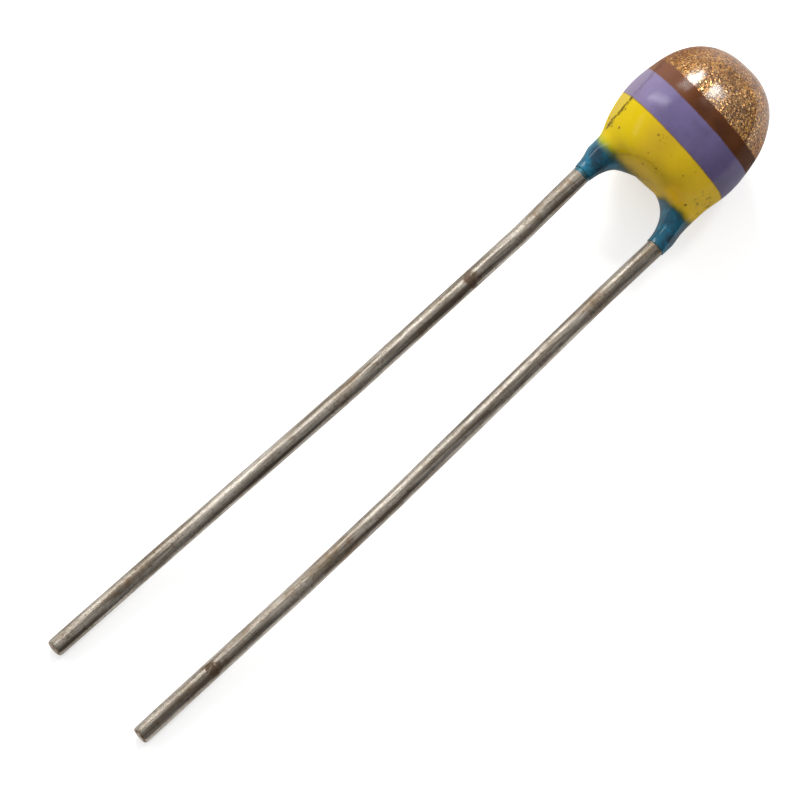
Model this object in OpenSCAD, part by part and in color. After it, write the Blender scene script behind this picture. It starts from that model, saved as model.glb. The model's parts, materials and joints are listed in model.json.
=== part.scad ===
// Two-lead lacquered thermistor, lying on a bench as it comes to rest.
// A sintered disc with a silvered face on either side, a tinned wire soldered
// to each face, the whole head dipped in lacquer and banded in four paints.
// Lengths are in millimetres. +X runs from the cut wire ends to the dome,
// +Y to the left lead, +Z up. The origin is on the bench, under the middle
// of the whole part.

/* [Leads] */
// Diameter of the tinned wire
wire_d = 0.6; // [0.5:0.01:0.7]
// Distance between the two wires where they leave the lacquer
lead_spacing = 3.25; // [2.8:0.05:3.7]
// Length of the left wire from the lacquer to the cut end
left_length = 22.4; // [18:0.1:28]
// Length of the right wire from the lacquer to the cut end
right_length = 22.2; // [18:0.1:28]
// Share of the left wire above its first kink
left_first_share = 0.125; // [0.08:0.005:0.2]
// Share of the left wire between its two kinks
left_second_share = 0.325; // [0.2:0.005:0.4]
// Share of the right wire above its first kink
right_first_share = 0.1; // [0.06:0.005:0.2]
// Share of the right wire between its first two kinks
right_second_share = 0.42; // [0.3:0.005:0.5]
// Share of the right wire between its last two kinks
right_third_share = 0.2; // [0.1:0.005:0.3]
// Length of the small chamfer round a cut wire end
end_chamfer = 0.06; // [0.04:0.01:0.09]

/* [Lead directions] */
// Angle the left wire leaves the lacquer at, towards the other wire
left_start_angle = 1.9; // [0:0.1:3]
// Turn of the left wire at its first kink, away from the other wire
left_first_turn = 2.2; // [1:0.1:3]
// Turn of the left wire at its second kink, away from the other wire
left_second_turn = 1.1; // [0.5:0.1:2]
// Angle the right wire leaves the lacquer at, away from the other wire
right_start_angle = 0.5; // [0:0.1:2]
// Turn of the right wire at its first kink, away from the other wire
right_first_turn = 0.9; // [0.5:0.1:2]
// Turn of the right wire over its last two kinks, back towards the other wire
right_second_turn = 1.7; // [1:0.1:2.5]

/* [Lacquered head] */
// Width of the head across the wires
head_width = 4.53; // [4.4:0.01:5.4]
// Thickness of the head
head_thickness = 4.2; // [4:0.02:4.3]
// Length of the head from its widest place to the top of the dome
dome_length = 2.88; // [2.6:0.02:3.2]
// Radius of the top of the dome
dome_radius = 1.8; // [1.5:0.02:1.86]
// Largest share of the half thickness the radius of the dome can take
dome_share = 0.9; // [0.8:0.01:0.95]
// Length of the head from its widest place down to its base
base_length = 1.76; // [1.5:0.02:2]
// Radius of the shoulder where the side rolls into the base
shoulder_radius = 0.6; // [0.5:0.05:1]
// Distance the middle of the head sits off the middle of the wires
head_offset = 0.37; // [0.2:0.01:0.5]
// Angle the head leans towards the left wire
head_lean = 5.4; // [2:0.2:6]
// Angle the dome is bent up from the line of the wires
head_pitch = 7; // [4:0.5:9]

/* [Lacquer legs] */
// Length of lacquer drawn down each wire below the base of the head
leg_length = 1.4; // [1.2:0.05:1.6]
// Reach of the hollow curve of a leg up inside the head
fillet_extra = 0.06; // [0.04:0.01:0.1]
// Thickness of the lacquer film where it ends on a wire
leg_film = 0.035; // [0.03:0.005:0.06]
// Distance the outside of the legs reaches past the wires
skirt_margin = 0.08; // [0.04:0.01:0.12]
// Distance the outside of the legs is moved towards the left wire
skirt_offset = 0.13; // [0.08:0.01:0.18]
// Thickness across the web between the legs
skirt_thickness = 1.7; // [1.4:0.1:2]

/* [Colour bands] */
// Thickness of the band paint
paint = 0.05; // [0.04:0.01:0.08]
// Height of the yellow and violet joint over the widest place
violet_from = -0.3; // [-0.5:0.02:-0.2]
// Height of the violet and brown joint over the widest place
brown_from = 0.74; // [0.6:0.02:0.86]
// Height of the brown and gold joint over the widest place
gold_from = 1.32; // [1.1:0.02:1.5]
// Angle the bands are tipped back towards the wires on the upper face
band_tip = 1; // [0:0.5:8]

/* [Inside the lacquer] */
// Diameter of the sintered disc
disc_d = 3.2; // [2.8:0.05:3.4]
// Thickness of the sintered disc
disc_t = 1.1; // [0.9:0.05:1.25]
// Thickness of the silvered faces
silver_t = 0.03; // [0.02:0.005:0.05]
// Width of the bare rim round each silvered face
silver_rim = 0.12; // [0.08:0.01:0.2]
// Distance the disc sits off the middle of the wires
disc_offset = 0.3; // [0.15:0.05:0.4]
// Least lacquer past the rim of the disc
disc_cover = 0.3; // [0.2:0.02:0.36]
// Distance from the middle of the disc to the line each wire is soldered on
landing_offset = 0.6; // [0.4:0.05:0.75]
// Thickness of the solder between each wire and its silvered face
solder_film = 0.03; // [0.02:0.005:0.05]
// Length of the short stretch in the middle of each crank bend
crank_step = 0.4; // [0.3:0.05:0.5]
// Angle of the crank
crank_angle = 45; // [40:1:50]
// Length of wire lying past the middle of the disc
landing_past = 0.9; // [0.75:0.05:1.1]
// Radius of the bead of solder over each wire
solder_radius = 0.62; // [0.5:0.02:0.68]

/* [Hidden] */
// Facets of a round surface
$fn = 64;
// Large size used to cut with
far = 40;
// Wire radius
wire_r = wire_d / 2;
// Sideways place of each wire
lead_y = lead_spacing / 2;
// Height along the head at which the lacquer legs end
leg_end = -base_length - leg_length;
// Height of a wire above the middle of the disc
landing_z = disc_t / 2 + silver_t + solder_film + wire_r;
// Sideways place of the soldered stretch of the left and the right wire
left_landing_y = disc_offset + landing_offset;
right_landing_y = disc_offset - landing_offset;
// Wire between the end of the lacquer and the crank
sleeve_length = leg_length * 0.4;
// Share of the disc radius left of a chord as far out as a landing
chord_share = sqrt(1 - (2 * landing_offset / disc_d) ^ 2);
// Place along the head of the middle of the disc, clear of the longer crank
disc_x = leg_end + sleeve_length + crank_length(right_landing_y + lead_y) + disc_d / 2 * chord_share;
// Half width of the head, which grows with a disc too wide for it
half_wide = max(head_width / 2, disc_d / 2 + abs(disc_offset - head_offset) + disc_cover);
// Top of the dome over the widest place, which grows with a disc too long
// for it
dome_top = max(dome_length, disc_x + disc_d / 2 + disc_cover);
// Half of the smaller way across the head, the radius of its rounded sides
half_thick = min(half_wide, head_thickness / 2);
// Distance of the middle of each rounded side from the middle of the head
side_spread = abs(half_wide - head_thickness / 2);
// Roll of the head that puts its rounded sides above and below when it is
// thicker than it is wide
side_roll = half_wide < head_thickness / 2 ? 90 : 0;
// Radius of the dome, limited by the half thickness under it
dome_r = min(dome_radius, half_thick * dome_share);
// Height along the head of the middle of the dome
dome_centre = dome_top - dome_r;
// Radius of the long arc of the side, tangent to the dome
side_radius = (dome_centre ^ 2 + half_thick ^ 2 - dome_r ^ 2) / (2 * (half_thick - dome_r));
// Distance of the middle of the side arc beyond the middle of the head
side_centre = side_radius - half_thick;
// Height along the head where the dome meets the side
dome_join = dome_centre * side_radius / (side_radius - dome_r);
// Height along the head of the middle of the shoulder
shoulder_z = shoulder_radius - base_length;
// Distance of the middle of the shoulder from the middle of the head
shoulder_x = sqrt((side_radius - shoulder_radius) ^ 2 - shoulder_z ^ 2) - side_centre;
// Height along the head where the side meets the shoulder
shoulder_join = shoulder_z * side_radius / (side_radius - shoulder_radius);
// Lengths of the stretches of each wire between its kinks
left_first = left_length * left_first_share;
left_second = left_length * left_second_share;
left_tail = left_length - left_first - left_second;
right_first = right_length * right_first_share;
right_second = right_length * right_second_share;
right_third = right_length * right_third_share;
right_tail = right_length - right_first - right_second - right_third;
// Run from the widest place of the head to the cut wire ends
run = -leg_end + (left_length + right_length) / 2;
// Angle the wires slope down at, from the head to the bench
rest_tilt = asin((belly(head_pitch) - wire_r) / run);
// Height of the middle of the head over the bench
rest_height = belly(head_pitch + rest_tilt);
// Places of the dome top and of the wire ends along the bench
front_x = (dome_top + paint) * cos(rest_tilt);
back_x = (leg_end - max(left_length, right_length)) * cos(rest_tilt);
// Sideways reach of the head and of the right wire
reach_left = head_offset + half_wide + paint;
reach_right = lead_y + wire_r + right_first * sin(right_start_angle)
    + right_second * sin(right_start_angle + right_first_turn)
    + right_third * sin(right_start_angle + right_first_turn - right_second_turn / 2);
// Move that brings the middle of the part over the origin
centre_x = -(front_x + back_x) / 2;
centre_y = (reach_right - reach_left) / 2;

// Paint colours
clay_grey = [0.28, 0.27, 0.26];
silver = [0.8, 0.8, 0.78];
tin = [0.55, 0.53, 0.5];
solder_grey = [0.66, 0.66, 0.67];
teal = [0.05, 0.36, 0.42];
yellow = [0.83, 0.72, 0.05];
violet = [0.44, 0.36, 0.62];
brown = [0.36, 0.2, 0.11];
gold = [0.7, 0.47, 0.25];

// Height of the middle of the head over the bench when pitched up this far
function belly(pitch) = side_radius + paint + (side_spread * sin(side_roll) - side_centre) * cos(pitch);

// Move of a wire across its own length in a crank this far inwards
function crank_shift(inwards) = norm([inwards, landing_z]);

// Straight stretch between the two bends of such a crank
function crank_run(inwards) = (crank_shift(inwards) - 2 * crank_step * sin(crank_angle / 2)) / sin(crank_angle);

// Length of such a crank along the wire
function crank_length(inwards) = 2 * crank_step * cos(crank_angle / 2) + crank_run(inwards) * cos(crank_angle);

// Puts the part down on the bench, from a frame centred in the head
module lying() {
    translate([centre_x, centre_y, rest_height])
        rotate([0, -rest_tilt, 0])
            children();
}

// Turns a thing built up the Z axis to run along the part
module along() {
    rotate([0, 90, 0])
        children();
}

// Leans the head about its widest place and moves it off the wires
module leaning() {
    translate([0, head_offset, 0])
        rotate([0, -head_pitch, head_lean])
            children();
}

// Outline of the head seen edge on, every side moved out by grow
module egg_outline(grow) {
    translate([0, dome_centre])
        circle(r = dome_r + grow);
    intersection() {
        translate([-side_centre, 0])
            circle(r = side_radius + grow);
        translate([side_centre, 0])
            circle(r = side_radius + grow);
        translate([-far / 2, shoulder_join])
            square([far, dome_join - shoulder_join]);
    }
    for (side = [-1, 1])
        translate([side * shoulder_x, shoulder_z])
            circle(r = shoulder_radius + grow);
    translate([-shoulder_x, -base_length - grow])
        square([2 * shoulder_x, base_length + grow]);
}

// The rounded left side of the head, half a turn of the outline
module egg_side(grow) {
    translate([0, side_spread, 0])
        rotate_extrude(angle = 180)
            intersection() {
                egg_outline(grow);
                translate([0, -far / 2])
                    square(far);
            }
}

// The head: the outline drawn across its middle, and turned round at both
// sides
module egg(grow) {
    leaning()
        along()
            rotate([0, 0, side_roll]) {
                rotate([90, 0, 0])
                    linear_extrude(2 * side_spread, center = true)
                        egg_outline(grow);
                egg_side(grow);
                rotate([0, 0, 180])
                    egg_side(grow);
            }
}

// Lacquer drawn down one wire in a hollow curve
module leg() {
    fillet = leg_length + fillet_extra;
    flare = fillet + wire_r + leg_film;
    along()
        rotate_extrude()
            difference() {
                square([flare, fillet + base_length / 3]);
                translate([flare, 0])
                    circle(r = fillet);
            }
}

// Film of lacquer round one wire, thinning out as the leg swallows it
module film() {
    along() {
        cylinder(h = sleeve_length, r = wire_r + leg_film);
        translate([0, 0, sleeve_length])
            cylinder(h = sleeve_length, r1 = wire_r + leg_film, r2 = wire_r - leg_film);
    }
}

// Outside of the two legs, a flattened round bar
module skirt() {
    skirt_r = skirt_thickness / 2;
    spread = lead_y + wire_r + skirt_margin - skirt_r;
    length = leg_length + base_length;
    translate([leg_end, skirt_offset, 0]) {
        for (side = [-1, 1])
            translate([0, side * spread, 0])
                along()
                    cylinder(h = length, r = skirt_r);
        translate([0, -spread, -skirt_r])
            cube([length, 2 * spread, skirt_thickness]);
    }
}

// Both legs, held within the skirt, over their thin films
module legs() {
    for (side = [-1, 1]) {
        intersection() {
            translate([leg_end, side * lead_y, 0])
                leg();
            skirt();
        }
        translate([leg_end, side * lead_y, 0])
            film();
    }
}

// Everything inside the lower skin of the lacquer
module lacquer_blank() {
    egg(0);
    legs();
}

// A straight stretch of wire between two kinks towards +X, mitred to suit
// both, and what comes after it; the second kink may be rolled round the wire
module stretch(length, kink_before, kink_after, roll = 0) {
    intersection() {
        translate([0, 0, -wire_d])
            cylinder(h = length + 2 * wire_d, r = wire_r);
        rotate([0, -kink_before / 2, 0])
            translate([-far, -far, 0])
                cube(2 * far);
        translate([0, 0, length])
            rotate([0, 0, roll])
                rotate([0, kink_after / 2, 0])
                    translate([-far, -far, -2 * far])
                        cube(2 * far);
    }
    translate([0, 0, length])
        rotate([0, 0, roll])
            rotate([0, kink_after, 0])
                children();
}

// The last stretch of a wire, with its cut end
module last_stretch(length, kink_before) {
    stretch(length - end_chamfer, kink_before, 0)
        cylinder(h = end_chamfer, r1 = wire_r, r2 = wire_r - end_chamfer);
}

// The soldered end of a wire, its crank over the disc and the stretch that
// leaves the lacquer at an angle, and what comes after it down the wire, +X
// away from the other wire
module cranked(side, landing_y, start_angle) {
    inwards = lead_y - side * landing_y;
    crank_roll = atan2(landing_z, inwards);
    crank_end = leg_end + sleeve_length + crank_length(inwards);
    kink = crank_angle / 2;
    translate([disc_x + landing_past, landing_y, side * landing_z])
        rotate([0, -90, 0])
            rotate([0, 0, side * 90 + crank_roll])
                stretch(disc_x + landing_past - crank_end, 0, kink)
                    stretch(crank_step, kink, kink)
                        stretch(crank_run(inwards), kink, -kink)
                            stretch(crank_step, -kink, -kink)
                                stretch(sleeve_length, -kink, start_angle, -crank_roll)
                                    children();
}

// Left wire before it is laid down
module left_wire() {
    cranked(1, left_landing_y, -left_start_angle)
        stretch(left_first, -left_start_angle, left_first_turn)
            stretch(left_second, left_first_turn, left_second_turn)
                last_stretch(left_tail, left_second_turn);
}

// Right wire before it is laid down
module right_wire() {
    half_turn = -right_second_turn / 2;
    cranked(-1, right_landing_y, right_start_angle)
        stretch(right_first, right_start_angle, right_first_turn)
            stretch(right_second, right_first_turn, half_turn)
                stretch(right_third, half_turn, half_turn)
                    last_stretch(right_tail, half_turn);
}

// Sintered disc before it is laid down
module disc_blank() {
    translate([disc_x, disc_offset, -disc_t / 2])
        cylinder(h = disc_t, d = disc_d);
}

// Silvered face on the upper or lower side, before it is laid down
module silver_blank(side) {
    lift = side > 0 ? disc_t / 2 : -disc_t / 2 - silver_t;
    translate([disc_x, disc_offset, lift])
        cylinder(h = silver_t, d = disc_d - 2 * silver_rim);
}

// Bead of solder over the landing of a wire, before it is laid down
module solder_blank(side, landing_y) {
    intersection() {
        translate([disc_x, landing_y, side * landing_z])
            sphere(r = solder_radius);
        translate([disc_x, landing_y, side * (disc_t / 2 + silver_t + far / 2)])
            cube(far, center = true);
    }
}

// Slab of the head between two heights, tipped as the bands are
module band_slab(low, high) {
    translate([low, 0, 0])
        rotate([0, -head_pitch - band_tip, 0])
            translate([0, -far / 2, -far / 2])
                cube([(high - low) * cos(head_pitch + band_tip), far, far]);
}

// Coat of paint on the head between two heights
module band(low, high) {
    difference() {
        intersection() {
            egg(paint);
            band_slab(low, high);
        }
        egg(0);
    }
}

module ceramic_disc() {
    color(clay_grey)
        lying()
            disc_blank();
}

module upper_silver_face() {
    color(silver)
        lying()
            silver_blank(1);
}

module lower_silver_face() {
    color(silver)
        lying()
            silver_blank(-1);
}

module left_lead() {
    color(tin)
        lying()
            left_wire();
}

module right_lead() {
    color(tin)
        lying()
            right_wire();
}

module left_solder() {
    color(solder_grey)
        lying()
            difference() {
                solder_blank(1, left_landing_y);
                left_wire();
            }
}

module right_solder() {
    color(solder_grey)
        lying()
            difference() {
                solder_blank(-1, right_landing_y);
                right_wire();
            }
}

module base_lacquer() {
    color(teal)
        lying()
            difference() {
                lacquer_blank();
                disc_blank();
                silver_blank(1);
                silver_blank(-1);
                solder_blank(1, left_landing_y);
                solder_blank(-1, right_landing_y);
                left_wire();
                right_wire();
            }
}

module yellow_band() {
    color(yellow)
        lying()
            difference() {
                band(-far / 2, violet_from);
                legs();
            }
}

module violet_band() {
    color(violet)
        lying()
            band(violet_from, brown_from);
}

module brown_band() {
    color(brown)
        lying()
            band(brown_from, gold_from);
}

module gold_cap() {
    color(gold)
        lying()
            band(gold_from, far / 2);
}

ceramic_disc();
upper_silver_face();
lower_silver_face();
left_lead();
right_lead();
left_solder();
right_solder();
base_lacquer();
yellow_band();
violet_band();
brown_band();
gold_cap();
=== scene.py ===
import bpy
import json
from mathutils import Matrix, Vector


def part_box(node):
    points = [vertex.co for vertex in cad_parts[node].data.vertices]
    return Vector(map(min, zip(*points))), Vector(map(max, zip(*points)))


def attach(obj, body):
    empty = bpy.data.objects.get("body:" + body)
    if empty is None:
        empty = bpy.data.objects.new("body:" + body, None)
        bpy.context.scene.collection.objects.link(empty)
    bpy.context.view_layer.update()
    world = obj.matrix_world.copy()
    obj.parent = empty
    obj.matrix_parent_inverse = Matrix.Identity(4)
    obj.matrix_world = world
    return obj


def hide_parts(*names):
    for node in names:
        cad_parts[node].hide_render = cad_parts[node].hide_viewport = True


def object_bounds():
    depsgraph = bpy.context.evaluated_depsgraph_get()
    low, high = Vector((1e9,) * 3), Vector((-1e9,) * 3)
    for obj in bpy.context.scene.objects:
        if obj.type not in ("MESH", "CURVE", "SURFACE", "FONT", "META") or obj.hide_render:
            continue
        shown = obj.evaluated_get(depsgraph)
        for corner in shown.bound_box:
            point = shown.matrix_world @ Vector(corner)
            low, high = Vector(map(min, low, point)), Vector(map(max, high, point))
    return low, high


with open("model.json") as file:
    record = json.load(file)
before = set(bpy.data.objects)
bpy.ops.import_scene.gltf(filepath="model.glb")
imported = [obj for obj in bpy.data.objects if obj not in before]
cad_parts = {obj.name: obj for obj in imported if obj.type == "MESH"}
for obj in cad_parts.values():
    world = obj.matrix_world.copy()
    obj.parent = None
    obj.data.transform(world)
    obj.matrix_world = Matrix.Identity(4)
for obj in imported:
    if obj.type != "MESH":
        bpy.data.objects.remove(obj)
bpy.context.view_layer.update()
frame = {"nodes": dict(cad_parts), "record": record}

import json
import math

import bpy
import bmesh
from mathutils import Matrix, Vector

MM = 0.001
nodes = frame["nodes"]
PAINTED = ("base_lacquer", "yellow_band", "violet_band", "brown_band", "gold_cap")
SEALED_IN = ("ceramic_disc", "upper_silver_face", "lower_silver_face",
             "left_solder", "right_solder", "left_lead", "right_lead")


# ---------------------------------------------------------------- measuring

def lowest(node, direction):
    """Where a CAD node starts along a direction, in metres."""
    return min(v.co.dot(direction) for v in nodes[node].data.vertices)


def middle(node):
    """Middle of a CAD node's box."""
    low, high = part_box(node)
    return (low + high) / 2


# The borders of the paint bands are flat and lean back this far. UP_HEAD is
# square to them.
BAND_LEAN = math.radians(12.2)
UP_HEAD = Vector((math.cos(BAND_LEAN), 0, math.sin(BAND_LEAN)))

# The part is looked at from over its wire ends, this far off straight down.
TILT = math.radians(15)
OUT = Vector((-math.sin(TILT), 0, math.cos(TILT)))
UP_PART = Vector((math.cos(TILT), 0, math.sin(TILT)))
RIGHT_PART = Vector((0, -1, 0))

# Where each paint ends up the head, a little under the CAD's borders.
YELLOW_TOP = lowest("violet_band", UP_HEAD) - 0.13 * MM
VIOLET_TOP = lowest("brown_band", UP_HEAD) - 0.1 * MM
BROWN_TOP = lowest("gold_cap", UP_HEAD) - 0.14 * MM

# Where the lacquer ends on the wires, where its legs leave the head, and how
# far down them the yellow paint reaches.
LACQUER_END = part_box("base_lacquer")[0].x
LEG_LENGTH = 1.4 * MM
HEAD_BASE = LACQUER_END + LEG_LENGTH
YELLOW_END = HEAD_BASE - 0.55 * MM

# Marks on the head are placed from here.
HEAD = middle("violet_band")
WIRE_WAYS = {mount["name"]: Vector(mount["axis"]) for mount in frame["record"]["mounts"]}

# Corners this close are one corner, and this close to a cut lie on it.
MERGE = 0.0005 * MM
ON_CUT = 0.00002 * MM

# How the skin of the head is made, and how much its dome and the left corner
# of its arch differ from the CAD's.
VOXEL = 0.045 * MM
SHOULDER_PASSES = 260
SKIN_PASSES = 14
DOME_FULLER = 0.07 * MM
ARCH_LOWER = 0.16 * MM
PAINT_THICKNESS = 0.06 * MM
SOFT_EDGE = math.radians(35)
# How deep the lacquer lies under the paint, in millimetres.
UNDER_PAINT = 0.07

# The wires: what moves with the cut end, where the first ring lies, and how
# far apart the others are, as far as the wire that the head hides.
WIRE_TIP = 0.2 * MM
FIRST_RING = 0.14 * MM
RING_STEP = 0.4 * MM
HIDDEN_WIRE = 6 * MM
WIRE_SOFT_EDGE = math.radians(40)


# ---------------------------------------------------------------- modelling

def deselect():
    if bpy.context.object and bpy.context.object.mode != "OBJECT":
        bpy.ops.object.mode_set(mode="OBJECT")
    bpy.ops.object.select_all(action="DESELECT")


def take(piece):
    """Make a piece the only thing selected, and the one worked on."""
    deselect()
    piece.select_set(True)
    bpy.context.view_layer.objects.active = piece


def edit(piece):
    """Open a piece for editing, with all of it selected."""
    take(piece)
    bpy.ops.object.mode_set(mode="EDIT")
    bpy.ops.mesh.select_mode(type="VERT")
    bpy.ops.mesh.select_all(action="SELECT")


def done():
    bpy.ops.object.mode_set(mode="OBJECT")


def modifier(piece, kind, **settings):
    """Add a modifier with these settings and apply it."""
    take(piece)
    bpy.ops.object.modifier_add(type=kind)
    added = piece.modifiers[-1]
    for name, value in settings.items():
        setattr(added, name, value)
    bpy.ops.object.modifier_apply(modifier=added.name)


def shade_smooth(piece, soft_edge=SOFT_EDGE):
    """Shade a piece smooth, apart from edges sharper than this."""
    take(piece)
    bpy.ops.object.shade_smooth_by_angle(angle=soft_edge)


def cast_of(name, *parts):
    """One merged mesh taken from CAD nodes, to be worked up as a new piece."""
    casts = []
    for part in parts:
        cast = bpy.data.objects.new(name, nodes[part].data.copy())
        bpy.context.scene.collection.objects.link(cast)
        casts.append(cast)
    take(casts[0])
    for cast in casts:
        cast.select_set(True)
    if len(casts) > 1:
        bpy.ops.object.join()
    piece = bpy.context.object
    piece.data.materials.clear()
    edit(piece)
    bpy.ops.mesh.remove_doubles(threshold=MERGE)
    done()
    return piece


def twin(piece, name):
    """A copy with its own mesh."""
    copy = bpy.data.objects.new(name, piece.data.copy())
    bpy.context.scene.collection.objects.link(copy)
    return copy


def cut(piece, place, facing, clear_below=False, clear_above=False, fill=False):
    """Bisect a piece on a plane, and clear what lies on either side."""
    edit(piece)
    bpy.ops.mesh.bisect(plane_co=place, plane_no=facing, use_fill=fill,
                        clear_inner=clear_below, clear_outer=clear_above,
                        threshold=ON_CUT)
    done()


def weight(piece, name, share):
    """A vertex group whose weight at each place is share(place)."""
    group = piece.vertex_groups.new(name=name)
    for vertex in piece.data.vertices:
        group.add([vertex.index], min(max(share(vertex.co), 0.0), 1.0), "REPLACE")
    return name


def largest_shell(piece):
    """Keep only the outer skin of a remeshed piece."""
    mesh = bmesh.new()
    mesh.from_mesh(piece.data)
    mesh.verts.ensure_lookup_table()
    unseen = set(mesh.verts)
    shells = []
    while unseen:
        seed = next(iter(unseen))
        shell, to_follow = {seed}, [seed]
        while to_follow:
            vertex = to_follow.pop()
            for edge in vertex.link_edges:
                other = edge.other_vert(vertex)
                if other not in shell:
                    shell.add(other)
                    to_follow.append(other)
        unseen -= shell
        shells.append(shell)
    keep = max(shells, key=len)
    bmesh.ops.delete(mesh, geom=[v for v in mesh.verts if v not in keep], context="VERTS")
    mesh.to_mesh(piece.data)
    mesh.free()


def rise(value, low, high):
    """0 below low, 1 above high, smooth between, for plain numbers."""
    t = min(max((value - low) / (high - low), 0.0), 1.0)
    return t * t * (3 - 2 * t)


def dipped_body():
    """The whole dipped head with its legs, as one smooth skin."""
    arch_corner = Vector((HEAD_BASE - 0.1 * MM, 0.42 * MM, HEAD.z + 0.1 * MM))

    def on_shoulders(place):
        on_legs = rise(place.x, LACQUER_END + 0.5 * MM, LACQUER_END + 1.2 * MM)
        return on_legs * (1 - rise(place.x, HEAD_BASE + 0.7 * MM, HEAD_BASE + 1.9 * MM))

    def on_dome(place):
        on_top = rise(place.x, HEAD.x + 0.4 * MM, HEAD.x + 1.5 * MM)
        return on_top * (1 - 0.6 * rise(place.x, HEAD.x + 2.2 * MM, HEAD.x + 3 * MM))

    def in_arch(place):
        near = 1 - rise((place - arch_corner).length, 0.1 * MM, 0.9 * MM)
        return near * rise(HEAD_BASE + 0.6 * MM - place.x, 0.0, 0.4 * MM)

    body = cast_of("dipped_body", *PAINTED, *SEALED_IN)
    cut(body, (LACQUER_END - 0.6 * MM, 0, 0), (1, 0, 0), clear_below=True, fill=True)
    modifier(body, "REMESH", mode="VOXEL", voxel_size=VOXEL)
    largest_shell(body)

    # the shoulders run smoothly into the legs
    shoulders = weight(body, "shoulders", on_shoulders)
    modifier(body, "SMOOTH", factor=0.5, iterations=SHOULDER_PASSES, vertex_group=shoulders)
    modifier(body, "SMOOTH", factor=0.5, iterations=SKIN_PASSES)

    # the dome is a little fuller, and the lacquer hangs lower in the left
    # corner of the arch between the legs
    fuller = weight(body, "fuller", on_dome)
    modifier(body, "DISPLACE", strength=DOME_FULLER, mid_level=0.0, vertex_group=fuller)
    arch = weight(body, "arch", in_arch)
    modifier(body, "DISPLACE", direction="X", strength=-ARCH_LOWER, mid_level=0.0, vertex_group=arch)

    # the legs end almost squarely, the right one a little higher
    cut(body, (LACQUER_END + 0.01 * MM, 1.6 * MM, 0), (1, 0.03, 0), clear_below=True, fill=True)
    body.vertex_groups.clear()
    shade_smooth(body)
    return body


def slice_of(body, name, low, high=None):
    """A coat of paint between two borders, cut from the skin of the head."""
    coat = twin(body, name)
    cut(coat, UP_HEAD * low, UP_HEAD, clear_below=True)
    if high is not None:
        cut(coat, UP_HEAD * high, UP_HEAD, clear_above=True)
    modifier(coat, "SOLIDIFY", thickness=PAINT_THICKNESS, offset=-1, use_rim=True)
    shade_smooth(coat)
    return coat


def base_of(body, high):
    """The lacquer itself: flush on the legs, and sunk under the paint."""
    base = twin(body, "teal_lacquer")
    cut(base, UP_HEAD * high, UP_HEAD)
    mesh = bmesh.new()
    mesh.from_mesh(base.data)
    for vertex in mesh.verts:
        if vertex.co.dot(UP_HEAD) > high + 0.002 * MM:
            vertex.co -= vertex.normal * UNDER_PAINT * MM
    mesh.to_mesh(base.data)
    mesh.free()
    shade_smooth(base)
    return base


def tip_of(piece, direction):
    """The place of a piece that reaches furthest along a direction, in
    millimetres."""
    return max((v.co for v in piece.data.vertices), key=lambda place: place.dot(direction)) / MM


def wire(node, name, longer):
    """A drawn wire, a little longer than its CAD node, with enough rings
    along it and softened edges at its cut end."""
    lead = cast_of(name, node)
    low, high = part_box(node)
    for vertex in lead.data.vertices:
        if vertex.co.x < low.x + WIRE_TIP:
            vertex.co.x -= longer
    edit(lead)
    bpy.ops.mesh.tris_convert_to_quads(face_threshold=math.radians(5),
                                       shape_threshold=math.radians(180))
    done()
    place = low.x + FIRST_RING
    while place < high.x - HIDDEN_WIRE:
        cut(lead, (place, 0, 0), (1, 0, 0))
        place += RING_STEP
    modifier(lead, "SUBSURF", levels=2, render_levels=2)
    shade_smooth(lead, WIRE_SOFT_EDGE)
    return lead


# ---------------------------------------------------------------- materials

class Number:
    """A socket among some nodes, for sums written as Python."""

    def __init__(self, owner, socket):
        self.owner = owner
        self.socket = socket

    def sum(self, kind, first, second):
        return self.owner.add("ShaderNodeMath", {"operation": kind}, {0: first, 1: second})

    def __add__(self, other):
        return self.sum("ADD", self, other)

    def __radd__(self, other):
        return self.sum("ADD", other, self)

    def __sub__(self, other):
        return self.sum("SUBTRACT", self, other)

    def __rsub__(self, other):
        return self.sum("SUBTRACT", other, self)

    def __mul__(self, other):
        return self.sum("MULTIPLY", self, other)

    def __rmul__(self, other):
        return self.sum("MULTIPLY", other, self)

    def __abs__(self):
        return self.owner.add("ShaderNodeMath", {"operation": "ABSOLUTE"}, {0: self})


class Nodes:
    """The nodes of a material or of the room light, as they are put together."""

    def __init__(self, tree):
        self.tree = tree

    def feed(self, node, inputs):
        """Give a node's sockets their values or links."""
        for name, value in inputs.items():
            if isinstance(value, Number):
                self.tree.links.new(value.socket, node.inputs[name])
            else:
                node.inputs[name].default_value = value

    def add(self, kind, settings, inputs, output=0):
        """Any node: its type, its settings, and the values or links of its
        sockets."""
        node = self.tree.nodes.new(kind)
        for name, value in settings.items():
            setattr(node, name, value)
        self.feed(node, inputs)
        return Number(self, node.outputs[output])

    def vector(self, kind, first, second=None, output=0):
        inputs = {0: first}
        if kind == "SCALE":
            inputs["Scale"] = second
        elif second is not None:
            inputs[1] = second
        return self.add("ShaderNodeVectorMath", {"operation": kind}, inputs, output)

    def step(self, value, low, high, before=0.0, after=1.0):
        """One value below low, another above high, smooth between."""
        return self.add("ShaderNodeMapRange", {"interpolation_type": "SMOOTHSTEP"},
                        {"Value": value, "From Min": low, "From Max": high,
                         "To Min": before, "To Max": after})


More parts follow.
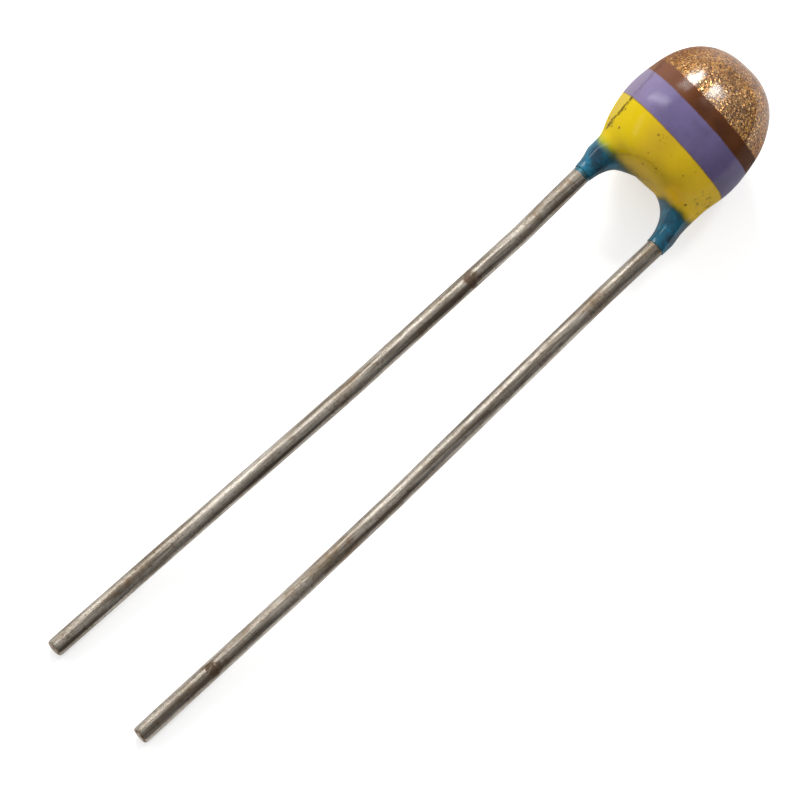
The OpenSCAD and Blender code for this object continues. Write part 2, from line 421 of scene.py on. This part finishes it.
class Paint(Nodes):
    """A material being mixed. Places are in millimetres."""

    def __init__(self, name):
        self.material = bpy.data.materials.new(name)
        self.material.use_nodes = True
        super().__init__(self.material.node_tree)
        self.shader = self.tree.nodes["Principled BSDF"]
        place = self.add("ShaderNodeTexCoord", {}, {}, "Object")
        self.place = self.vector("SCALE", place, 1 / MM)
        sunk = self.vector("SCALE", tuple(OUT), self.dot(OUT))
        self.seen = self.vector("SUBTRACT", self.place, sunk)

    def dot(self, direction):
        return self.vector("DOT_PRODUCT", self.place, tuple(direction), "Value")

    def red_of(self, colour):
        return self.vector("DOT_PRODUCT", colour, (1, 0, 0), "Value")

    def noise(self, scale, detail=3, rough=0.55, stretch=None, place=None):
        place = place or self.place
        if stretch is not None:
            place = self.vector("MULTIPLY", place, stretch)
        return self.add("ShaderNodeTexNoise", {},
                        {"Vector": place, "Scale": scale, "Detail": detail, "Roughness": rough})

    def uneven(self, scale, detail, spread, rough=0.55):
        """Noise about nothing, for wandering edges and blotchy finishes."""
        return (self.noise(scale, detail, rough) - 0.5) * spread

    def cells(self, scale, output):
        """Scattered cells: the Distance to the middle of one, or its Color."""
        return self.add("ShaderNodeTexVoronoi", {},
                        {"Vector": self.place, "Scale": scale, "Randomness": 1.0}, output)

    def above(self, value, border, soft):
        """0 below a border given in metres and 1 above it, changing over
        soft millimetres on each side."""
        return self.step(value, border / MM - soft, border / MM + soft)

    def mix(self, share, first, second):
        first = first if isinstance(first, Number) else (*first, 1)
        second = second if isinstance(second, Number) else (*second, 1)
        return self.add("ShaderNodeMix", {"data_type": "RGBA"}, {0: share, 6: first, 7: second}, 2)

    def distance(self, place):
        return self.vector("DISTANCE", self.place, tuple(place), "Value")

    def away(self, left, up):
        """How far it is to a place on the upper side of the head, given in
        millimetres left of its middle and up the part from it."""
        middle_seen = HEAD - OUT * HEAD.dot(OUT)
        place = (middle_seen + Vector((0, left, 0)) * MM + UP_PART * up * MM) / MM
        return self.vector("DISTANCE", self.seen, tuple(place), "Value")

    def mark(self, left, up, radius, soft):
        """1 near such a place, 0 away from it."""
        return 1 - self.step(self.away(left, up), radius, radius + soft)

    def bump(self, height, strength, distance, **others):
        return self.add("ShaderNodeBump", {}, {"Height": height, "Strength": strength,
                                               "Distance": distance, **others})

    def finish(self, inputs):
        self.feed(self.shader, inputs)
        return self.material


def srgb(red, green, blue):
    """A paint colour written in the usual 0 to 255."""
    def linear(c):
        c /= 255
        return c / 12.92 if c <= 0.04045 else ((c + 0.055) / 1.055) ** 2.4
    return linear(red), linear(green), linear(blue)


def teal_paint(p):
    """Teal, deeper where it is thick."""
    teal = p.mix(p.step(p.noise(1.9), 0.35, 0.7), srgb(16, 92, 116), srgb(24, 56, 74))
    return p.mix(p.step(p.noise(3), 0.5, 0.7) * 0.6, teal, srgb(18, 124, 160))


# The middle of the arch between the legs, left of the head's middle and up
# from it, and its radius, in millimetres.
ARCH = (-0.2, -3.0)
ARCH_RADIUS = 1.43


def yellow_paint(p, across, up_seen, crowd, speck):
    """Yellow, with painted light from side to side (a little paler towards the left wire, palest on
    the right flank) and painted light and shade over the arch, darker blotches low in its middle,
    and dirt in places.
    """
    # painted light: the yellow's tone is set side by side for how the light falls, a little paler at
    # the far left by the left wire and palest on the right flank, where the room light is dim
    side = across * -1 + p.uneven(0.8, 2, 1.2)
    yellow = p.mix(p.step(side, -1.6, -0.4), srgb(206, 178, 8), srgb(200, 166, 34))
    yellow = p.mix(p.step(side, 0.2, 1.5), yellow, srgb(244, 202, 50))
    # darker in blotches low in the middle of the yellow
    low_darker_blotches = p.step(p.noise(1.1, 4), 0.4, 0.7) * p.mark(0.0, -1.7, 0.3, 1.3)
    yellow = p.mix(low_darker_blotches * 0.4, yellow, srgb(176, 144, 48))
    yellow = p.mix(p.mark(-1.2, -1.75, 0.05, 0.5) * 0.8, yellow, srgb(246, 190, 16))
    yellow = p.mix(p.mark(-0.6, -0.85, 0.2, 0.6) * 0.6, yellow, srgb(226, 190, 24))
    yellow = p.mix(p.step(p.noise(2.6), 0.5, 0.8) * 0.35, yellow, srgb(198, 160, 36))

    # over the arch: a ring of painted bounce light, two places of painted shade
    # in it, and a line of painted shade along its edge where the skin folds
    ring = p.away(*ARCH) - ARCH_RADIUS
    bright = p.step(ring, 0.04, -0.3) * p.step(up_seen, -2.6, -2.2) * 0.55
    painted_shade_in_arch = p.mark(0.3, -2.42, 0.1, 0.4) * 0.7 + p.mark(-0.1, -2.3, 0.05, 0.3) * 0.45
    painted_crease_shade = 1 - p.step(abs(ring + p.uneven(3, 2, 0.1)), 0.0, 0.06)
    painted_crease_shade = painted_crease_shade * p.step(across, -1.0, 0.2) * p.step(p.noise(4), 0.35, 0.6)
    yellow = p.mix(bright, yellow, srgb(232, 190, 60))
    yellow = p.mix(painted_shade_in_arch, yellow, srgb(84, 70, 28))
    yellow = p.mix(painted_crease_shade * 0.4, yellow, srgb(150, 112, 30))

    grit = p.step(p.noise(11, 3, 0.6), 0.6, 0.68) * crowd
    yellow = p.mix(speck * 0.75, yellow, srgb(92, 68, 24))
    return p.mix(grit * 0.6, yellow, srgb(120, 92, 28))


def faded_paint(p, across, yellow_on, yellow):
    """Teal up to the yellow, and the green where the yellow thins out."""
    green = p.mix(p.step(across, 0.9, 1.7), srgb(54, 74, 30), srgb(150, 158, 30))
    thin = p.mix(p.step(yellow_on, 0.05, 0.6), teal_paint(p), green)
    return p.mix(p.step(yellow_on, 0.3, 1.0), thin, yellow)


def violet_paint(p, across):
    violet = p.mix(p.step(p.noise(0.9), 0.3, 0.75), srgb(106, 94, 136), srgb(88, 77, 110))
    # painted sheen: the violet is paler towards the left flank
    return p.mix(p.step(across, 0.9, 1.9) * 0.4, violet, srgb(150, 136, 168))


def brown_paint(p, across):
    brown = p.mix(p.step(p.noise(1.6, 4), 0.3, 0.75), srgb(96, 56, 32), srgb(76, 44, 26))
    # painted sheen: the brown is paler towards the left flank
    return p.mix(p.step(across, 0.7, 1.8) * 0.5, brown, srgb(132, 92, 74))


def gold_paint(p, lit):
    """Gold flake in clear lacquer, which is brown where the flakes are few."""
    gold = p.mix(p.step(lit, 0.3, 0.78), srgb(100, 65, 38), srgb(230, 170, 98))
    gold = p.mix(p.step(p.noise(1.3), 0.45, 0.75) * 0.5, gold, srgb(88, 56, 36))
    gold = p.mix(p.step(p.noise(6, 4, 0.7), 0.46, 0.62) * 0.42, gold, srgb(104, 66, 38))
    glint = p.step(lit + p.noise(5, 2) * 0.3, 0.99, 1.03)
    return p.mix(glint * 0.8, gold, srgb(255, 220, 165))


def yellow_specks(p):
    """Three places where dirt crowds in the yellow, and the specks there and
    elsewhere."""
    crowd = p.mark(0.33, -0.87, 0.1, 0.3) + p.mark(-0.07, -1.62, 0.1, 0.3)
    crowd = crowd + p.mark(-2.1, -1.15, 0.1, 0.4)
    chosen = p.step(p.red_of(p.cells(3.1, "Color")) + crowd * 0.7, 0.62, 0.66)
    grain = p.cells(3.1, "Distance") + p.uneven(16, 2, 0.2)
    return crowd, (1 - p.step(grain, 0.06, 0.2)) * chosen


# The dip down the left flank: how far left it lies at the middle of the
# part, and how much further with each millimetre up the head.
DIP_LEFT = 0.8
DIP_LEAN = 0.115


def flank_run(p, height, violet_on):
    """The dark run in the dip, and the painted sheen that pales the side of the head beyond it."""
    flank = p.dot(Vector((0, 1, 0)) - UP_PART * DIP_LEAN) - DIP_LEFT
    jag = flank + p.uneven(4, 4, 0.2, 0.7)
    on_top = p.step(p.dot((0, 0, 1)), HEAD.z / MM, HEAD.z / MM + 0.3)
    on_flank = on_top * (1 - p.step(height, BROWN_TOP / MM - 0.3, BROWN_TOP / MM + 0.2))
    past_legs = p.step(p.dot((1, 0, 0)), HEAD_BASE / MM - 0.6, HEAD_BASE / MM - 0.2)
    run = (1 - p.step(abs(jag), 0.015, 0.06)) * on_flank * past_legs
    run = run * p.step(p.noise(7), 0.3, 0.5) * (1 - violet_on * 0.65)
    # painted sheen: the side of the head beyond the dip is paler
    outer = p.step(flank, 0.0, 0.12) * on_flank * (1 - violet_on * 0.7)
    return run, outer


def banded_lacquer():
    """Teal lacquer with yellow, violet, brown and gold flake paint over it."""
    p = Paint("banded_lacquer")
    across = p.dot((0, 1, 0))
    height = p.dot(UP_HEAD) + (p.uneven(1.1, 2, 0.05) + p.uneven(9, 2, 0.03))

    # where each paint starts, going up the head
    up_seen = p.dot(UP_PART) - HEAD.dot(UP_PART) / MM
    fade = up_seen + p.uneven(1.4, 3, 0.4)
    fade = fade - p.step(across * -1, 0.4, 1.2) * 0.33 - p.step(across, 1.0, 1.9) * 0.1
    yellow_on = p.step(fade, -2.6, -1.92)
    violet_on = p.above(height, YELLOW_TOP, 0.012)
    brown_on = p.above(height, VIOLET_TOP, 0.03)
    gold_on = p.above(height + p.uneven(24, 1, 0.12), BROWN_TOP, 0.03)

    # each flake in the gold faces its own way
    flakes = p.cells(26, "Color")
    lit = p.vector("DOT_PRODUCT", flakes, (0.6, 0.4, 0.0), "Value")

    crowd, speck = yellow_specks(p)
    yellow = yellow_paint(p, across, up_seen, crowd, speck)
    colour = faded_paint(p, across, yellow_on, yellow)
    colour = p.mix(violet_on, colour, violet_paint(p, across))
    colour = p.mix(brown_on, colour, brown_paint(p, across))
    colour = p.mix(gold_on, colour, gold_paint(p, lit))

    # a thin dark line of pooled paint where violet meets yellow
    line = 1 - p.step(abs(height - (YELLOW_TOP / MM - 0.01)), 0.008, 0.04)
    colour = p.mix(line * 0.55, colour, srgb(110, 80, 40))

    run, outer = flank_run(p, height, violet_on)
    # painted sheen paling the side beyond the dip, then the dark run of paint
    colour = p.mix(outer * 0.25, colour, srgb(190, 170, 120))
    colour = p.mix(run * 0.85, colour, srgb(70, 48, 22))

    # scuffs low on the right flank
    scuff = p.mark(-2.05, -1.2, 0.15, 0.4) * p.step(p.noise(5, 4, 0.7, (1, 1.6, 1)), 0.55, 0.62)
    colour = p.mix(scuff * 0.7, colour, srgb(96, 72, 24))

    metal = gold_on * (0.1 + p.step(lit, 0.35, 0.6) * 0.8)
    rough = 0.34 - gold_on * 0.04 + p.uneven(3, 3, 0.16) + scuff * 0.3
    gold_coat = 0.5 - p.step(abs(across), 1.1, 2.0) * 0.42
    coat = 0.35 - yellow_on * 0.25 + violet_on * 0.15 - brown_on * 0.18 + gold_on * gold_coat

    # the flakes tilt the light, and the lacquer over them waves a little
    face = p.add("ShaderNodeNewGeometry", {}, {}, "Normal")
    turn = p.vector("SUBTRACT", flakes, (0.5, 0.5, 0.5))
    tilt = p.vector("SCALE", turn, gold_on * 0.75)
    tilted = p.vector("NORMALIZE", p.vector("ADD", face, tilt))
    waves = p.noise(1.6, 2) * 0.6 + p.noise(7, 2) * 0.08
    waves = waves + run * -0.5 + scuff * -0.4 - line * 0.25 + speck * 0.15
    normal = p.bump(waves, strength=0.5, distance=0.03 * MM, Normal=tilted)
    return p.finish({"Base Color": colour, "Metallic": metal, "Roughness": rough,
                     "Normal": normal, "Coat Weight": coat,
                     "Coat Roughness": 0.18, "Coat IOR": 1.9, "Specular IOR Level": 0.0,
                     "Specular Tint": (*srgb(120, 92, 74), 1)})


def tinned_wire(name, axis, tip, nick, stain, lacquer_run):
    """Dull drawn tin: streaks along the wire, brown stains, one nick, and a
    little lacquer run past the end of its leg."""
    p = Paint(name)
    along = p.vector("SCALE", tuple(axis), p.dot(axis))
    drawn = p.vector("SUBTRACT", p.place, p.vector("SCALE", along, 0.95))
    streak = p.noise(6.5, 4, 0.6, place=drawn)
    fine = p.noise(24, 3, 0.6, place=drawn)
    blotch = p.noise(0.9, 4, 0.6, (0.7, 1.6, 1.6))
    pit = p.noise(9, 3, 0.65)

    # the drawn tin, dirt in its pits, and darker blotches
    tin = p.mix(p.step(streak, 0.34, 0.66), srgb(104, 95, 84), srgb(178, 171, 160))
    tin = p.mix(p.step(fine, 0.45, 0.7) * 0.5, tin, srgb(104, 94, 82))
    tin = p.mix(p.step(blotch, 0.5, 0.72) * 0.5, tin, srgb(114, 98, 78))
    dirt = p.step(pit, 0.54, 0.68) * p.step(blotch, 0.36, 0.6)
    tin = p.mix(dirt * 0.65, tin, srgb(84, 68, 50))

    # the nick, then brown speckle and rust all over
    ragged = p.distance(nick) + p.uneven(4, 4, 0.5, 0.7)
    bruise = (1 - p.step(ragged, 0.2, 0.32)) * p.step(p.noise(6), 0.32, 0.48)
    tin = p.mix(bruise * 0.8, tin, srgb(88, 68, 50))
    tin = p.mix(p.step(p.noise(13, 3, 0.7), 0.5, 0.64) * 0.4, tin, srgb(92, 78, 62))
    rust = p.step(p.noise(2.2, 4, 0.65), 0.56, 0.7)
    tin = p.mix(rust * 0.5, tin, srgb(96, 74, 52))

    # the cut face, the stain, and the lacquer run past its leg
    back_from_tip = tip.dot(axis) * -1
    cut_face = 1 - p.step(p.dot(axis) * -1, back_from_tip + 0.03, back_from_tip + 0.07)
    sheared = p.mix(p.step(p.noise(8), 0.4, 0.6), srgb(158, 142, 124), srgb(92, 74, 58))
    tin = p.mix(cut_face * 0.8, tin, sheared)
    patch = (1 - p.step(p.distance(stain), 0.35, 1.25)) * p.step(p.noise(3), 0.42, 0.6)
    tin = p.mix(patch * 0.45, tin, srgb(110, 90, 66))
    run_end = LACQUER_END / MM - lacquer_run
    run = p.step(p.dot((1, 0, 0)) + p.uneven(4, 3, 0.2), run_end, run_end + 0.06)
    tin = p.mix(run * 0.85, tin, srgb(30, 92, 108))

    rough = 0.31 + p.step(blotch, 0.3, 0.8) * 0.16 + (pit - 0.5) * 0.12
    rough = rough + bruise * 0.3 + cut_face * 0.2
    height = streak * 0.6 + fine * 0.3 + pit * 0.12 - bruise * 0.3
    normal = p.bump(height, strength=0.5, distance=0.03 * MM)
    return p.finish({"Base Color": tin, "Roughness": rough, "Normal": normal, "Metallic": 1.0})


def inner_finish(name, colour, metallic, roughness):
    """Plain fired or sintered finish for what is sealed inside."""
    p = Paint(name)
    speckle = p.noise(12, 4)
    tone = p.mix(p.step(speckle, 0.3, 0.7), colour, tuple(0.8 * c for c in colour))
    return p.finish({"Base Color": tone, "Roughness": roughness + (speckle - 0.5) * 0.2,
                     "Normal": p.bump(speckle, strength=0.3, distance=0.01 * MM),
                     "Metallic": metallic})


# The paper's greys in plain light and as it is seen, and its glow as it is
# seen.
PAPER_GREY = (0.72, 0.72, 0.72)
PAPER_GREY_SEEN = (0.86, 0.86, 0.86)
PAPER_GLOW_SEEN = (0.52, 0.52, 0.52)


def bench_material():
    """White paper, which shows as white to the camera and in what is glossy."""
    p = Paint("white_bench")
    camera_ray, glossy_ray, through_ray = [
        p.add("ShaderNodeLightPath", {}, {}, ray)
        for ray in ("Is Camera Ray", "Is Glossy Ray", "Is Transmission Ray")]
    white = p.step(camera_ray + glossy_ray + through_ray, 0.0, 1.0)
    tone = p.mix(white, PAPER_GREY, PAPER_GREY_SEEN)
    glow = p.mix(white, (0, 0, 0), PAPER_GLOW_SEEN)
    return p.finish({"Base Color": tone, "Emission Color": glow, "Roughness": 0.9,
                     "Specular IOR Level": 0.0, "Emission Strength": 1.0})


# ---------------------------------------------------------------- the part

def paint_with(piece, material):
    piece.data.materials.clear()
    piece.data.materials.append(material)


def finish_piece(piece, material, node):
    """Give a piece its material, and let it stand for its CAD node."""
    paint_with(piece, material)
    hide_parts(node)
    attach(piece, "root")


def dipped_head():
    """The lacquer and the four paints over it."""
    body = dipped_body()
    lacquer = banded_lacquer()
    base = base_of(body, YELLOW_END)
    yellow = slice_of(body, "yellow_paint", YELLOW_END, YELLOW_TOP)
    violet = slice_of(body, "violet_paint", YELLOW_TOP, VIOLET_TOP)
    brown = slice_of(body, "brown_paint", VIOLET_TOP, BROWN_TOP)
    gold = slice_of(body, "gold_flake_paint", BROWN_TOP)
    bpy.data.objects.remove(body)
    finish_piece(base, lacquer, "base_lacquer")
    finish_piece(yellow, lacquer, "yellow_band")
    finish_piece(violet, lacquer, "violet_band")
    finish_piece(brown, lacquer, "brown_band")
    finish_piece(gold, lacquer, "gold_cap")


def bare_wire(node, name, finish, longer, nick, stain, lacquer_run):
    """One wire. Its nick and stain are given in millimetres: along from its
    CAD end, then across and up. lacquer_run is how far past the end of its
    leg the lacquer has run."""
    piece = wire(node, name, longer)
    axis = WIRE_WAYS[node + "_end"]
    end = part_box(node)[0].x / MM
    marks = [(end + along, across, up) for along, across, up in (nick, stain)]
    finish_piece(piece, tinned_wire(finish, axis, tip_of(piece, axis), *marks, lacquer_run),
                 node)


dipped_head()
bare_wire("left_lead", "left_wire", "tinned_wire_left", 0.04 * MM,
          nick=(17.4, 1.3, 1.8), stain=(21.0, 1.6, 2.0), lacquer_run=0.14)
bare_wire("right_lead", "right_wire", "tinned_wire_right", 0.12 * MM,
          nick=(2.95, -2.13, 0.82), stain=(8, -2.0, 1.2), lacquer_run=-0.5)

# The sealed-in nodes: the name of the finish, its colour, metal and roughness.
INSIDE = {
    "ceramic_disc": ("sintered_oxide", srgb(72, 70, 68), 0.0, 0.7),
    "upper_silver_face": ("fired_silver", srgb(214, 212, 206), 1.0, 0.5),
    "lower_silver_face": ("fired_silver_lower", srgb(214, 212, 206), 1.0, 0.5),
    "left_solder": ("soft_solder", srgb(188, 188, 190), 1.0, 0.3),
    "right_solder": ("soft_solder_lower", srgb(188, 188, 190), 1.0, 0.3),
}
for inner_node, inner in INSIDE.items():
    paint_with(nodes[inner_node], inner_finish(*inner))


# ---------------------------------------------------------------- the studio

BENCH_SIZE = 0.6
BENCH_GAP = 0.01 * MM
TURN = math.radians(47.3)
DISTANCE = 220 * MM
WIDTH_SEEN = 25 * MM
FILM_WIDTH = 36
NEAREST_SEEN = 10 * MM
AIM = Vector((-0.68, 0.05, 0)) * MM
LAMP_DISTANCE = 300 * MM
LAMPS_AROUND = Vector((10, 0, 2)) * MM

DAYLIGHT_WAY = (0.2, 0.6, 0.4)
ROOM_DIM = 0.18
ROOM_BRIGHT = 0.68

# Each softbox: how it lies from the part as the camera sees it (right, up and
# out), then its width, its length and its power.
LAMPS = {
    "left_softbox": ((-0.673, 0.591, 0.455), 0.06, 0.08, 0.36),
    "far_softbox": ((-0.78, 0.5, 0.39), 0.05, 0.06, 0.16),
    "top_softbox": ((-0.13, 0.72, 0.68), 0.038, 0.042, 0.14),
    "left_strip": ((-0.91, 0.12, 0.4), 0.03, 0.2, 0.16),
    "low_strip": ((-0.91, -0.35, 0.45), 0.11, 0.04, 0.065),
}


def lay_bench():
    deselect()
    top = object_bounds()[0][2] - BENCH_GAP
    bpy.ops.mesh.primitive_plane_add(size=BENCH_SIZE, location=(0, 0, top))
    bench = bpy.context.object
    bench.name = "bench"
    bench.data.materials.append(bench_material())


def set_camera():
    """A long lens, turned so that the wires run down to the left."""
    cam_right = RIGHT_PART * math.cos(TURN) + UP_PART * math.sin(TURN)
    cam_up = UP_PART * math.cos(TURN) - RIGHT_PART * math.sin(TURN)
    turn = Matrix((cam_right, cam_up, OUT)).transposed().to_4x4()
    lens = bpy.data.cameras.new("camera")
    lens.sensor_width = FILM_WIDTH
    lens.lens = FILM_WIDTH * DISTANCE / WIDTH_SEEN
    lens.clip_start = NEAREST_SEEN
    camera = bpy.data.objects.new("camera", lens)
    camera.matrix_world = Matrix.Translation(AIM + OUT * DISTANCE) @ turn
    bpy.context.scene.collection.objects.link(camera)
    bpy.context.scene.camera = camera


def softbox(name, way, width, length, power):
    right, up, out = way
    aim = (RIGHT_PART * right + UP_PART * up + OUT * out).normalized()
    light = bpy.data.lights.new(name, "AREA")
    light.shape = "RECTANGLE"
    light.size = width
    light.size_y = length
    light.energy = power
    item = bpy.data.objects.new(name, light)
    facing = aim.to_track_quat("Z", "Y").to_matrix().to_4x4()
    item.matrix_world = Matrix.Translation(LAMPS_AROUND + aim * LAMP_DISTANCE) @ facing
    bpy.context.scene.collection.objects.link(item)


def room_light():
    """Daylight from one side: bright to the left of the part, dim to its right."""
    world = bpy.data.worlds.new("room")
    bpy.context.scene.world = world
    world.use_nodes = True
    room = Nodes(world.node_tree)
    way = room.add("ShaderNodeTexCoord", {}, {}, "Generated")
    toward = room.vector("DOT_PRODUCT", way, DAYLIGHT_WAY, "Value")
    level = room.step(toward, -0.6, 0.8, ROOM_DIM, ROOM_BRIGHT)
    room.feed(room.tree.nodes["Background"], {"Color": (1, 1, 1, 1), "Strength": level})


lay_bench()
set_camera()
for lamp, setting in LAMPS.items():
    softbox(lamp, *setting)
room_light()
bpy.context.scene.view_settings.view_transform = "Standard"
